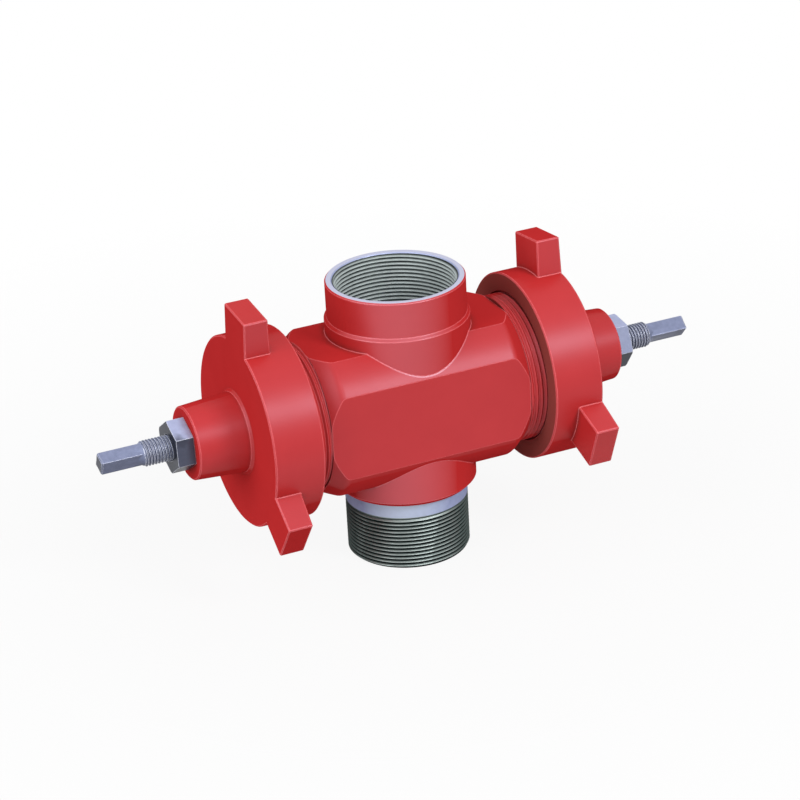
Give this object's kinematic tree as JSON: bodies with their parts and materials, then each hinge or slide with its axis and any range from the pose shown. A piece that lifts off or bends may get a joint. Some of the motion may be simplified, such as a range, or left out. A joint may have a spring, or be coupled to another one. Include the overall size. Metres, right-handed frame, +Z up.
{
  "type": "sucker rod blowout preventer",
  "caption": "Hand-operated blowout preventer for a sucker rod string: a flat-sided body between threaded tubing ends, with side caps whose stems screw rams in to close round the rod.",
  "frame": {"origin": "bottom centre of the nipple's lower end, on the rod axis", "axes": "+X along the rams towards the right end cap, +Z up along the rod, the pictured front at -Y"},
  "size_m": [0.493, 0.1982, 0.2295],
  "materials": {
    "red_paint": "gloss red enamel on a steel casting",
    "bare_steel": "bare machined steel",
    "ram_steel": "dark phosphated steel",
    "rubber": "black nitrile rubber",
    "packing": "graphited packing"
  },
  "bodies": {
    "housing": {"body": "red_paint", "nipple": "bare_steel", "left_end_cap": "red_paint", "left_cap_seal": "rubber", "left_stem_packing": "packing", "left_packing_follower": "bare_steel", "left_gland_nut": "bare_steel", "right_end_cap": "red_paint", "right_cap_seal": "rubber", "right_stem_packing": "packing", "right_packing_follower": "bare_steel", "right_gland_nut": "bare_steel"},
    "left_ram": {"left_ram": "ram_steel", "left_ram_face_seal": "rubber", "left_ram_top_seal": "rubber", "left_guide_key": "bare_steel"},
    "left_stem": {"left_stem": "bare_steel"},
    "right_ram": {"right_ram": "ram_steel", "right_ram_face_seal": "rubber", "right_ram_top_seal": "rubber", "right_guide_key": "bare_steel"},
    "right_stem": {"right_stem": "bare_steel"}
  },
  "joints": [
    {"name": "left_ram_slide", "type": "slide", "parent": "housing", "child": "left_ram", "axis": [1, 0, 0], "range_m": [0, 0.037]},
    {"name": "left_stem_turn", "type": "hinge", "parent": "left_ram", "child": "left_stem", "pos_m": [-0.2, 0, 0.1278], "axis": [1, 0, 0], "range_deg": [0, 2665]},
    {"name": "right_ram_slide", "type": "slide", "parent": "housing", "child": "right_ram", "axis": [-1, 0, 0], "range_m": [0, 0.037]},
    {"name": "right_stem_turn", "type": "hinge", "parent": "right_ram", "child": "right_stem", "pos_m": [0.2, 0, 0.1278], "axis": [-1, 0, 0], "range_deg": [0, 2665]}
  ],
  "couplings": [
    {"joint": "left_stem_turn", "follows": "left_ram_slide", "rad_per_m": 1256.6},
    {"joint": "right_stem_turn", "follows": "right_ram_slide", "rad_per_m": 1256.6}
  ]
}
